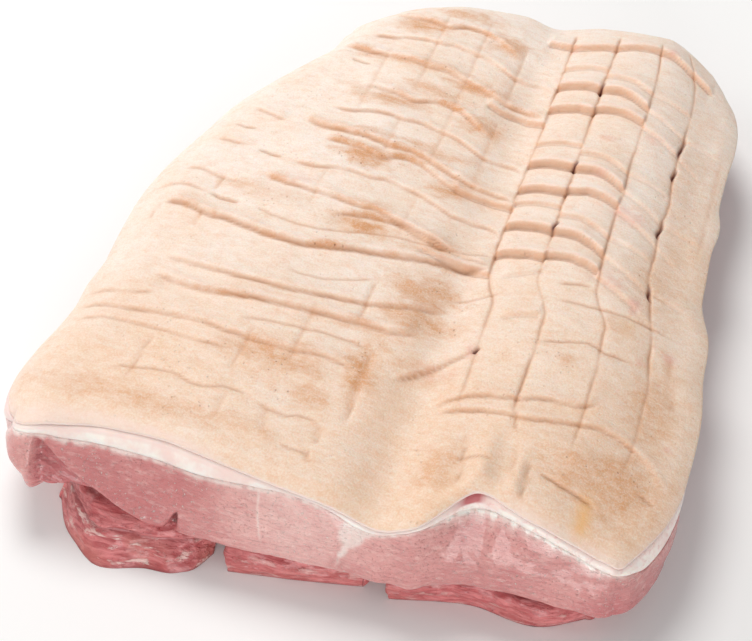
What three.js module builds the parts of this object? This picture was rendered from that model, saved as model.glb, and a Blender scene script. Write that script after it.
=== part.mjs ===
import * as THREE from 'three';

// Pork belly slab, rind side up, front cut face toward -Y. Millimetres, +Z up, resting on z = 0.
// Top to bottom: a scored rind with its fat, a thick pale lean layer, and three rib-meat strips.
// The plan is drawn about the middle of the front edge, then moved so the box centre is at x = y = 0.

// ---- driving dimensions ----
const plan = { left: -122, right: 128, front: -100, back: 198 };
const planCentre = [7, 35.1];
const restHeight = 49;            // rind above the table, away from the edges
const ribHeight = 14;             // thickness of the rib-meat strips
const layerGap = 0.4;             // between two layers that lie on each other
const rindAndFat = 11;            // thickness of rind and fat inside the slab
const edgeFade = 45;              // how far in from an edge its own shape is felt

// How far each edge of the rind stands off the plain rectangle: [place along the edge, offset].
const leftRim = [[-100, 2], [-86, -4], [-66, -3], [-50, 0.5], [-38, 2], [-27, 1.5], [-14, 3],
  [7, 2], [27, 1.8], [55, 6.5], [77, 13.2], [99, 20.2], [125, 34], [149, 47], [165, 50], [180, 51],
  [198, 53]];
const rightRim = [[-100, -3.5], [-88, 3], [-73, 9], [-60, 12], [-44, 13.2], [-16, 13], [1, 10.5],
  [23, 8.8], [41, 3], [55, 2.2], [73, 1.5], [89, 2.5], [98, 0.5], [112, 0], [123, 0.2], [138, 1],
  [158, -0.5], [172, -4], [183, -9], [191, -13], [198, -19]];
const frontRim = [[-122, -1], [-112, -4.5], [-100, -2.5], [-85, 1], [-70, 2], [-54, 2], [-38, 0],
  [-20, -2.2], [-3, -3.8], [10, -4.8], [26, -5.6], [41, -6.4], [51, -3], [58, 5], [63, 11], [67, 14],
  [72, 14.5], [80, 12.2], [89, 9.8], [101, 8.5], [113, 8], [122, 7], [128, 6]];
const backRim = [[-122, -29], [-107, -24], [-92, -14.5], [-77, -9.8], [-62, -8], [-32, -3.6], [-2, 0],
  [15, 1], [30, -0.8], [40, 1.2], [50, 2.5], [65, 1.8], [78, 1], [98, 3.3], [110, 4], [120, 0],
  [128, -8]];
// How far the lean bulges out of the front below the rind, and the fat's own depth at the front cut.
const frontBulge = [[-122, 8], [-112, 12], [-104, 14.5], [-80, 18], [-60, 20], [-44, 19.5], [-30, 17],
  [-14, 14.5], [5, 11.5], [19, 9.5], [40, 8.5], [50, 10], [58, 14], [65, 20], [76, 19.5], [89, 14.5],
  [106, 11.5], [120, 11], [128, 9]];
const frontFat = [[-122, 0.5], [-98, 2], [-60, 3.4], [-40, 3.6], [-14, 1.5], [0, 0.6], [50, 0.6],
  [68, 3], [100, 1.6], [128, 1.4]];

// Lengthwise score cuts, each [x at the back, x at the front, depth].
const lengthCuts = [
  [42, 48, 1.4], [63, 69, 1.6], [86, 91, 1.5], [105, 107, 1.5], [21, 22, 0.5], [9.5, 9.5, 0.5],
];
// Crosswise lips: [left x, right x, y at the left, rise in the middle, y at the right, step height].
const lips = [
  [14, 43, 126, -0.5, 122, 2.0],
  [42, 63, 147, 1, 147, 3.0], [42, 63, 130, 1, 131, 3.0], [42, 63, 91, 1, 92, 3.0],
  [42, 63, 77, 1, 78, 2.6], [42, 63, 51.5, 1, 52, 2.8], [42, 63, 39, 1, 39.5, 2.4],
  [63, 86, 146, 2, 139, 3.0], [63, 86, 131, 2, 127, 2.8], [63, 86, 91, 2, 85, 3.0], [63, 86, 78, 2, 75, 2.6],
  [63, 86, 52, 2, 47, 2.8], [63, 86, 40, 2, 37.5, 2.4],
  [86, 105, 128, 0, 117, 2.6], [86, 105, 76, 0, 66, 2.4], [86, 105, 38, 0, 30, 2.0],
];
// Long folds of the skin on the left half: [left x, right x, y at the left, sag, y at the right, depth].
const folds = [
  [-60, 42, 175, 2, 162, 1.2], [-60, 42, 140, 3, 126, 1.6], [-60, 42, 116, 2, 104, 1.2],
  [-62, 42, 90, 3, 77, 1.6], [-50, 42, 76, 2, 66, 1.2], [-65, 42, 53, -4, 38, 1.4],
  [-32, 30, 34, 3, 30, 1.2], [-90, 48, 19, -7, 25, 1.4], [-90, 24, -20, -3, -22, 1.6],
  [33, 100, 181, 3, 178, 1.6],
];

// ---- small maths ----
const clamp01 = (t) => Math.min(1, Math.max(0, t));
const ease = (t) => { const c = clamp01(t); return c * c * (3 - 2 * c); };
const bell = (x, middle, width) => Math.exp(-(((x - middle) / width) ** 2));

// Smooth curve through a short list of points, held level beyond its ends.
function through(points, x) {
  const n = points.length;
  if (x <= points[0][0]) return points[0][1];
  if (x >= points[n - 1][0]) return points[n - 1][1];
  let i = 0;
  while (x > points[i + 1][0]) i += 1;
  const slope = (j) => {
    const p = points[Math.max(0, j - 1)];
    const q = points[Math.min(n - 1, j + 1)];
    return (q[1] - p[1]) / (q[0] - p[0]);
  };
  const [[x0, y0], [x1, y1]] = [points[i], points[i + 1]];
  const w = x1 - x0;
  const t = (x - x0) / w;
  const curve = y0 * (1 + 2 * t) * (1 - t) ** 2 + y1 * t * t * (3 - 2 * t);
  return curve + w * slope(i) * t * (1 - t) ** 2 - w * slope(i + 1) * t * t * (1 - t);
}

// ---- the slab's shape, over its plain rectangle (a across, b along) ----

// Shift that turns a square plan corner into a quarter circle, for distances p and q from its two edges.
function rounding(p, q, radius) {
  const dx = clamp01(1 - p / radius);
  const dy = clamp01(1 - q / radius);
  const kept = Math.max(dx, dy) / Math.max(Math.hypot(dx, dy), 1e-9);
  return [radius * dx * (1 - kept), radius * dy * (1 - kept)];
}

// Plan position at a relative depth below the rind: 0 at the rind, 1 at the lean's lower edge.
function place(a, b, depth) {
  const swell = Math.sin(clamp01(depth) * Math.PI / 2);
  const nearLeft = ease(1 - (a - plan.left) / edgeFade);
  const nearRight = ease(1 - (plan.right - a) / edgeFade);
  const nearFront = ease(1 - (b - plan.front) / edgeFade);
  const nearBack = ease(1 - (plan.back - b) / edgeFade);
  const frontLeft = rounding(a - plan.left, b - plan.front, 6 + 9 * swell);
  const frontRight = rounding(plan.right - a, b - plan.front, 2.5 + 7 * swell);
  const backLeft = rounding(a - plan.left, plan.back - b, 6);
  const x = a + frontLeft[0] + backLeft[0] - frontRight[0]
    + through(leftRim, b) * (1 - ease((a - plan.left) / 150))
    + through(rightRim, b) * ease((a - plan.right + 60) / 60)
    + nearLeft * (3 * swell - 3 * Math.sin(clamp01(depth * 1.4) * Math.PI))
    + nearRight * (4 - 9.5 * ease((b + 85) / 65)) * swell;
  const y = b + frontLeft[1] + frontRight[1] - backLeft[1]
    + through(frontRim, a) * (1 - ease((b - plan.front) / 55))
    + through(backRim, a) * ease((b - plan.back + 60) / 60)
    - nearFront * through(frontBulge, a) * swell - nearBack * 5 * swell * swell;
  return [x, y];
}

// Step of the skin at the lips: it drops toward the front and climbs back toward the next lip.
function lipRelief(x, y) {
  let z = 0;
  for (const [left, right, yLeft, rise, yRight, height] of lips) {
    const t = (x - left) / (right - left);
    if (t < 0 || t > 1) continue;
    const behind = y - (yLeft + (yRight - yLeft) * t + 4 * rise * t * (1 - t));
    const edge = ease(t * 6) * ease((1 - t) * 6);
    if (behind > 0) z += edge * height * 0.55 * Math.exp(-behind / 7);
    else z -= edge * height * 0.45 * Math.exp(behind / 5);
  }
  return z;
}

function foldRelief(x, y) {
  let z = 0;
  for (const [left, right, yLeft, sag, yRight, depth] of folds) {
    const t = (x - left) / (right - left);
    if (t < 0 || t > 1) continue;
    const off = y - (yLeft + (yRight - yLeft) * t + 4 * sag * t * (1 - t));
    z -= depth * Math.sin(Math.PI * t) * (bell(off, 0, 3) - 0.6 * bell(off, 7, 6));
  }
  for (const [atBack, atFront, depth] of lengthCuts) {
    const line = atBack + (atFront - atBack) * ease((25 - y) / 40);
    z -= depth * bell(x, line, 2.2) * ease((y + 75) / 30);
  }
  return z;
}

// The broad shape of the rind: two humps and a valley running lengthwise, falling to the right and back.
function crown(a, b) {
  const towardBack = ease((b - 110) / 80);
  const valley = 6 * bell(a, 33, 13) * (1 - 0.55 * towardBack - 0.4 * bell(b, 50, 70));
  return restHeight + 3 * bell(a, -45, 38) - valley + 4 * bell(a, 78, 22)
    - 8 * ease((a - 92) / 36) - 2 * towardBack + 2 * bell(a, 67, 9) * bell(b, -100, 16);
}

// Height of the rind.
function rindZ(a, b) {
  const [x, y] = place(a, b, 0);
  const fromLeft = clamp01((a - plan.left) / 24);
  const fromBack = clamp01((plan.back - b) / 20);
  const fromFront = clamp01((b - plan.front) / 7);
  const fromRight = clamp01((plan.right - a) / 8);
  return crown(a, b)
    + (lipRelief(x, y) + foldRelief(x, y)) * Math.min(fromLeft, fromBack, fromFront, fromRight)
    - 11 * (1 - fromLeft) ** 2 - 4 * (1 - fromBack) ** 2 * Math.min(fromLeft, fromRight)
    - 2 * (1 - fromFront) ** 2 * Math.min(fromLeft, fromRight) - 2.5 * (1 - fromRight) ** 2;
}

// Underside of the fat, and underside of the lean.
function fatZ(a, b) {
  const inward = ease((b - plan.front) / 30);
  const smooth = crown(a, b) - 11 * (1 - clamp01((a - plan.left) / 24)) ** 2
    - 3 * (1 - clamp01((plan.back - b) / 30)) ** 2 * clamp01((a - plan.left) / 24);
  return smooth - 3.4 - through(frontFat, a) * (1 - inward) - (rindAndFat - 3.4) * inward;
}

function leanZ(a, b) {
  const cornerRise = 7 * ease((-42 - a) / 55) * ease((-62 - b) / 38)
    * (0.35 + 0.65 * ease((a + 112) / 20));
  const rimRise = 3 * ease(1 - (plan.right - a) / 16) * ease((b + 95) / 30)
    + 4 * ease(1 - (a - plan.left) / 18) * ease((b + 80) / 30);
  return ribHeight + layerGap + cornerRise + rimRise + 0.5 * (1 + Math.sin(a / 17) * Math.cos(b / 23));
}

// ---- closed layers on a grid ----

const spread = (n, from, to) => Array.from({ length: n + 1 }, (_, i) => from + ((to - from) * i) / n);

// Grid of points with a triangle pair in every cell; flip makes it face down.
function sheet(model, us, vs, at, flip) {
  const rows = vs.map((v) => us.map((u) => model.points.push(at(u, v)) - 1));
  for (let j = 0; j + 1 < vs.length; j += 1) {
    for (let i = 0; i + 1 < us.length; i += 1) {
      const [p, q, r, s] = [rows[j][i], rows[j][i + 1], rows[j + 1][i + 1], rows[j + 1][i]];
      if (flip) model.faces.push([p, r, q], [p, s, r]);
      else model.faces.push([p, q, r], [p, r, s]);
    }
  }
  return rows;
}

// Way round the border of a grid: one list per side, corners shared, anticlockwise from above.
function border(rows) {
  const last = rows.length - 1;
  const end = rows[0].length - 1;
  return [rows[0], rows.map((r) => r[end]), [...rows[last]].reverse(), rows.map((r) => r[0]).reverse()];
}

// Wall between an upper and a lower line of points that need not have the same count.
function zip(model, upper, lower) {
  let i = 0;
  let j = 0;
  while (i < upper.length - 1 || j < lower.length - 1) {
    const nextUpper = (i + 1) / (upper.length - 1);
    const nextLower = (j + 1) / (lower.length - 1);
    if (i < upper.length - 1 && (j === lower.length - 1 || nextUpper <= nextLower)) {
      model.faces.push([upper[i], lower[j], upper[i + 1]]);
      i += 1;
    } else {
      model.faces.push([upper[i], lower[j], lower[j + 1]]);
      j += 1;
    }
  }
}

// Lines of the coarser sheets: closer together where the front edge arches.
const coarseColumns = [plan.left, -112, -104, -92, -78, -62, -46, -30, -14, 2, 18, 32, 44, 54, 61, 67,
  76, 88, 100, 114, plan.right];
const coarseRows = [plan.front, -92, -80, ...spread(9, -62, 154), 172, 186, plan.back];

// One solid: a top sheet, rings of points down its sides, and a bottom sheet.
function layer({ topUs, topVs, us, vs, levels, at }) {
  const model = { points: [], faces: [] };
  const top = border(sheet(model, topUs, topVs, (u, v) => at(u, v, 0), false));
  const rings = levels.map((level) => {
    const sides = [us.map((u) => [u, vs[0]]), vs.map((v) => [us[us.length - 1], v]),
      [...us].reverse().map((u) => [u, vs[vs.length - 1]]), [...vs].reverse().map((v) => [us[0], v])];
    const first = model.points.length;
    const add = ([u, v]) => model.points.push(at(u, v, level)) - 1;
    const lines = sides.map((side) => side.slice(0, -1).map(add));
    return lines.map((line, k) => [...line, lines[k + 1] ? lines[k + 1][0] : first]);
  });
  const bottom = border(sheet(model, us, vs, (u, v) => at(u, v, 1), true));
  const walls = [top, ...rings, bottom];
  for (let k = 0; k + 1 < walls.length; k += 1) {
    walls[k].forEach((side, s) => zip(model, side, walls[k + 1][s]));
  }
  return model;
}

function mesh(name, model, color, roughness) {
  const spots = model.points.flatMap(([x, y, z]) => [x - planCentre[0], y - planCentre[1], z]);
  const geometry = new THREE.BufferGeometry();
  geometry.setAttribute('position', new THREE.Float32BufferAttribute(spots, 3));
  geometry.setIndex(model.faces.flat());
  geometry.computeVertexNormals();
  const part = new THREE.Mesh(geometry, new THREE.MeshStandardMaterial({ color, roughness, metalness: 0 }));
  part.name = name;
  return part;
}

// ---- the pieces ----

const mix = (from, to, t) => from + (to - from) * t;

// Columns of the rind close up round each lengthwise cut.
function rindColumns() {
  const stops = [plan.left, -119, -114, -106, -96, -84, -72, -60, -48, -36, -24, -12, 0, 9.5, 21, 31, 38];
  for (const at of [42, 63, 86, 105]) stops.push(at, at + 4, at + 10.5, at + 17);
  stops.push(125, plan.right);
  return stops;
}

function fatCap() {
  const rows = [plan.front, -97, -92, ...spread(52, -86, 186), 190, 194, plan.back];
  return layer({
    topUs: rindColumns(), topVs: rows,
    us: coarseColumns, vs: coarseRows, levels: [0.35, 0.7],
    at: (a, b, level) => {
      const [x, y] = place(a, b, 0.3 * level);
      return [x, y, mix(rindZ(a, b), fatZ(a, b), level)];
    },
  });
}

function lean() {
  return layer({
    topUs: coarseColumns, topVs: coarseRows,
    us: coarseColumns, vs: coarseRows, levels: [0.2, 0.45, 0.7, 0.88],
    at: (a, b, level) => {
      const depth = level < 1 ? mix(0.3, 1, level) : 0.62;
      const [x, y] = place(a, b, depth);
      return [x, y, mix(fatZ(a, b) - layerGap, leanZ(a, b), level)];
    },
  });
}

// A strip under the lean between two columns of the plan. Its front end is its own line.
function ribStrip(from, to, front, slope) {
  const length = plan.back - 8;
  return layer({
    topUs: spread(8, 0, 1), topVs: spread(20, 0, 1), us: spread(8, 0, 1), vs: spread(20, 0, 1),
    levels: [0.3, 0.7],
    at: (u, v, level) => {
      const ragged = 1.5 * Math.sin(v * 23 + from) * (1 - Math.abs(level - 0.5));
      const a = mix(from + ragged, to - ragged, u);
      const tip = through(front, mix(from, to, u));
      const shelf = mix(Math.max(tip + slope, -111), tip, level);
      const b = mix(-90, length - 6 * level, ease(v) * 0.25 + v * 0.75);
      const [x, y] = place(a, b, 0.4);
      const pull = ease(1 - v * 4);
      const under = leanZ(a, Math.min(b, y + 8)) - 0.7;
      const crown = Math.min(under, mix(under, 12, pull)) - 1.6 * (1 - Math.sin(Math.PI * clamp01(u))) ** 2;
      const z = level === 0 ? crown : crown * (1 - level);
      return [x, mix(y, shelf, pull), z];
    },
  });
}

const part = new THREE.Group();
part.name = 'pork_belly_slab';
part.add(mesh('fat_cap', fatCap(), 0xf0d5bd, 0.55));
part.add(mesh('pink_lean', lean(), 0xd69696, 0.45));
const leftFront = [[-100, -108], [-94, -118], [-85, -126], [-76, -131.8], [-54, -128], [-40, -125.5],
  [-34, -121], [-30, -113]];
const middleFront = [[-22, -119], [6, -114], [30, -109]];
const rightFront = [[42, -111], [72, -104], [100, -104], [112, -96]];
part.add(mesh('rib_meat_left', ribStrip(-100, -30, leftFront, 18), 0xb45055, 0.45));
part.add(mesh('rib_meat_middle', ribStrip(-22, 30, middleFront, 5), 0xb45055, 0.45));
part.add(mesh('rib_meat_right', ribStrip(42, 112, rightFront, 5), 0xb45055, 0.45));

export default part;
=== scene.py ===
import math
import bpy
import numpy as np
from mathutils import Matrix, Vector


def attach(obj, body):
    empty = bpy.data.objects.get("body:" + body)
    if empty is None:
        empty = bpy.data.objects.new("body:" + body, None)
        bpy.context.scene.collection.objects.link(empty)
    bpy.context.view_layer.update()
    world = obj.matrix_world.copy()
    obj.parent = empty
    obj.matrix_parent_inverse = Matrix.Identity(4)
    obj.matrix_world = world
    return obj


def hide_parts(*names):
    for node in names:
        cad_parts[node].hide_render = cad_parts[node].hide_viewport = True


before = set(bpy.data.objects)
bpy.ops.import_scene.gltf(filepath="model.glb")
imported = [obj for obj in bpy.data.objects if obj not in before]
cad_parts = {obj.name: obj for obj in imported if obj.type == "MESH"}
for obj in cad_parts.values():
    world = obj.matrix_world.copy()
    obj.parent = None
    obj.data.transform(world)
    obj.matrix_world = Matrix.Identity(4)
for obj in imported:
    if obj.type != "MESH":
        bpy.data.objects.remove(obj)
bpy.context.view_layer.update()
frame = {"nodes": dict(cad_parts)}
print("frame loaded:", ", ".join(frame["nodes"]))

# Every shape below is worked out in millimetres over the slab's plan, x across and y along,
# measured from the middle of the front edge. toPart turns that into the part's own metres.
slab = {
    "left": -122.0, "right": 128.0, "front": -100.0, "back": 198.0,
    "centre": (7.0, 35.1),      # where the middle of the part lies in the plan
    "restHeight": 49.0,         # rind above the table, away from the edges
    "ribHeight": 14.0,          # thickness of the rib meat
    "layerGap": 0.4,            # between two layers that lie on each other
    "edgeFade": 45.0,           # how far in an edge's own shape is felt
    "leftRim": [(-100, 2), (-86, -4), (-66, -3), (-50, 0.5), (-38, 2), (-27, 1.5), (-14, 3), (7, 2),
                (27, 1.8), (55, 6.5),
                 (77, 13.2), (99, 20.2), (125, 34), (149, 47), (165, 50), (180, 51), (198, 53)],
    "rightRim": [(-100, -3.5), (-88, 3), (-73, 9), (-60, 12), (-44, 13.2), (-16, 13), (1, 10.5),
                 (23, 8.8), (41, 3),
                 (55, 2.2), (73, 1.5), (89, 2.5), (98, 0.5), (112, 0), (123, 0.2), (138, 1), (158, -0.5), (172, -4), (183, -9),
                 (191, -13), (198, -19)],
    "frontRim": [(-122, -1), (-112, -4.5), (-100, -2.5), (-85, 1), (-70, 2), (-54, 2), (-38, 0),
                 (-20, -2.2), (-3, -3.8),
                 (10, -4.8), (26, -5.6), (41, -6.4), (51, -3), (58, 5), (63, 11), (67, 14), (72, 14.5), (80, 12.2), (89, 9.8),
                 (101, 8.5), (113, 8), (122, 7), (128, 6)],
    "backRim": [(-122, -29), (-107, -24), (-92, -14.5), (-77, -9.8), (-62, -8), (-32, -3.6), (-2, 0),
                (15, 1), (30, -0.8),
                 (40, 1.2), (50, 2.5), (65, 1.8), (78, 1), (98, 3.3), (110, 4), (120, 0), (128, -8)],
    "frontBulge": [(-122, 8), (-112, 12), (-104, 14.5), (-80, 18), (-60, 20), (-44, 19.5), (-30, 17),
                   (-14, 14.5),
                   (5, 11.5), (19, 9.5), (40, 8.5), (50, 10), (58, 14), (65, 20), (76, 19.5), (89, 14.5), (106, 11.5),
                   (120, 11), (128, 9)],
    # how far each lengthwise cut swings right near the front
    "lineBend": [(21, 0), (42, 6.5), (63, 8), (86, 6), (105, 3), (124, 3), (128, 0)],
}


# Numbers and curves.

def clamp01(t):
    return np.clip(t, 0.0, 1.0)


def ease(t):  # 3t^2 - 2t^3 between 0 and 1
    c = clamp01(t)
    return c * c * (3 - 2 * c)


def bell(x, middle, width):  # e to the minus square of the distance in widths
    return np.exp(-((x - middle) / width) ** 2)


def mix(start, end, t):
    return start + (end - start) * t


def through(points, x):
    # Smooth curve through points: each span is a cubic whose end slopes are those of its neighbours' chord.
    px, py = np.array(points, float).T
    slopes = np.gradient(py, px) if len(px) > 2 else np.full(2, (py[1] - py[0]) / (px[1] - px[0]))
    slopes[0] = (py[1] - py[0]) / (px[1] - px[0])
    slopes[-1] = (py[-1] - py[-2]) / (px[-1] - px[-2])
    inside = np.clip(x, px[0], px[-1])
    i = np.clip(np.searchsorted(px, inside, side="right") - 1, 0, len(px) - 2)
    width = px[i + 1] - px[i]
    t = (inside - px[i]) / width
    return (py[i] * (1 + 2 * t) * (1 - t) ** 2 + py[i + 1] * t * t * (3 - 2 * t)
            + width * slopes[i] * t * (1 - t) ** 2 - width * slopes[i + 1] * t * t * (1 - t))


def lattice(ix, iy, iz, seed):
    # A fixed pseudo-random number from 0 to 1 for every whole-number corner.
    ix, iy, iz = (i.astype(np.int64) for i in (ix, iy, iz))
    h = (ix * 73856093) ^ (iy * 19349663) ^ (iz * 83492791)
    h = (h + seed * 2654435761) & 0xFFFFFFFF
    h = ((h ^ (h >> 16)) * 2246822507) & 0xFFFFFFFF
    h = ((h ^ (h >> 13)) * 3266489909) & 0xFFFFFFFF
    return ((h ^ (h >> 16)) & 0xFFFFFF) / float(0xFFFFFF)


def noise(x, y, z=0.0, seed=1):
    # Corner numbers blended smoothly inside each unit cell, from -1 to 1.
    x, y, z = np.broadcast_arrays(np.asarray(x, float), np.asarray(y, float), np.asarray(z, float))
    ix, iy, iz = np.floor(x), np.floor(y), np.floor(z)
    fx, fy, fz = ease(x - ix), ease(y - iy), ease(z - iz)
    total = np.zeros(x.shape)
    for dx in (0, 1):
        for dy in (0, 1):
            for dz in (0, 1):
                weight = (fx if dx else 1 - fx) * (fy if dy else 1 - fy) * (fz if dz else 1 - fz)
                total = total + weight * lattice(ix + dx, iy + dy, iz + dz, seed)
    return 2 * total - 1


def stops(low, high, count, crowded=()):
    # Positions from low to high, closer together round each (place, width, extra) in crowded.
    fine = np.linspace(low, high, 6000)
    density = np.ones_like(fine)
    for place, width, extra in crowded:
        density += extra * bell(fine, place, width)
    filled = np.concatenate([[0], np.cumsum((density[1:] + density[:-1]) / 2)])
    return np.interp(np.linspace(0, filled[-1], count), filled, fine)


# The slab's form, over its plain rectangle: a across, b along.

def rounding(p, q, radius):
    # Shift that turns a square plan corner into a quarter circle, for distances p and q from its two edges.
    dx, dy = clamp01(1 - p / radius), clamp01(1 - q / radius)
    kept = np.maximum(dx, dy) / np.maximum(np.hypot(dx, dy), 1e-9)
    return np.stack([radius * dx * (1 - kept), radius * dy * (1 - kept)])


def place(a, b, depth):
    # Plan position of nominal (a, b): the plain rectangle with its rims pushed to their outlines, and its
    # sides swelling outwards with the depth below the rind, 0 at the rind and 1 at the lean's lower edge.
    swell = np.sin(clamp01(depth) * math.pi / 2)
    left, right, front, back = slab["left"], slab["right"], slab["front"], slab["back"]
    near = [ease(1 - gap / slab["edgeFade"]) for gap in (a - left, right - a, b - front, back - b)]
    frontLeft = rounding(a - left, b - front, 6 + 9 * swell)
    frontRight = rounding(right - a, b - front, 2.5 + 7 * swell)
    backLeft = rounding(a - left, back - b, 6)
    x = (a + frontLeft[0] + backLeft[0] - frontRight[0]
         + through(slab["leftRim"], b) * (1 - ease((a - left) / 150))
         + through(slab["rightRim"], b) * ease((a - right + 60) / 60)
         + near[0] * (3 * swell - 3 * np.sin(clamp01(depth * 1.4) * math.pi))
         + near[1] * (4 - 9.5 * ease((b + 85) / 65)) * swell)
    y = (b + frontLeft[1] + frontRight[1] - backLeft[1]
         + through(slab["frontRim"], a) * (1 - ease((b - front) / 55))
         + through(slab["backRim"], a) * ease((b - back + 60) / 60)
         - near[2] * through(slab["frontBulge"], a) * swell - near[3] * 5 * swell * swell)
    return x, y


def bent(a, b):  # the lengthwise cuts swing to the right near the front
    seen = ease((a - 21) / 10) * ease((26 - b) / 22) * ease((slab["right"] - a) / 8)
    return a + through(slab["lineBend"], a) * seen


def crown(a, b):
    # The broad shape of the rind: two humps and a valley running lengthwise, falling to the right and back.
    towardBack = ease((b - 110) / 80)
    valley = 6 * bell(a, 33, 13) * (1 - 0.55 * towardBack - 0.4 * bell(b, 50, 70))
    return (slab["restHeight"] + 3 * bell(a, -45, 38) - valley + 4 * bell(a, 78, 22)
            - 8 * ease((a - 92) / 36) - 2 * towardBack + 2 * bell(a, 67, 9) * bell(b, -100, 16))


def leanBottom(a, b):
    # Underside of the lean: it rises over the left strip's front end and toward the right and left sides.
    fromLeft, fromRight = a - slab["left"], slab["right"] - a
    cornerRise = 7 * ease((-42 - a) / 55) * ease((-62 - b) / 38) * (0.35 + 0.65 * ease((a + 112) / 20))
    rimRise = (3 * ease(1 - fromRight / 16) * ease((b + 95) / 30)
               + 4 * ease(1 - fromLeft / 18) * ease((b + 80) / 30))
    return slab["ribHeight"] + slab["layerGap"] + cornerRise + rimRise + 0.5 * (1 + np.sin(a / 17) * np.cos(b / 23))


# Scored and folded skin.

skinRelief = {
    "cuts": [(42, 1.3), (63, 1.2), (86, 0.7), (105, 1.2)],    # lengthwise cuts: nominal place, depth
    "repeats": [0, -56, -96],    # the same run of cuts comes again toward the front
    # crosswise lips in each column: left x, right x, y at the left, in the middle, at the right, height
    "lips": [
        (42, 63, 148.7, 149.6, 148.2, 3.6), (42, 63, 131.6, 132.8, 132.0, 3.4), (42, 63, 162.5, 164.0, 163.0, 1.5),
        (63, 86, 148.6, 147.0, 140.0, 3.4), (63, 86, 133.6, 134.2, 130.4, 3.0), (63, 86, 158.5, 157.0, 150.5, 1.4),
        (86, 105, 127.8, 123.0, 117.4, 1.1), (86, 105, 140.2, 135.5, 130.2, 0.8), (86, 105, 151.2, 149.6, 147.0, 0.7),
        (105, 117, 117.2, 113.5, 109.0, 0.5), (105, 124, 130.2, 129.6, 128.0, 0.5),
    ],
}


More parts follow.
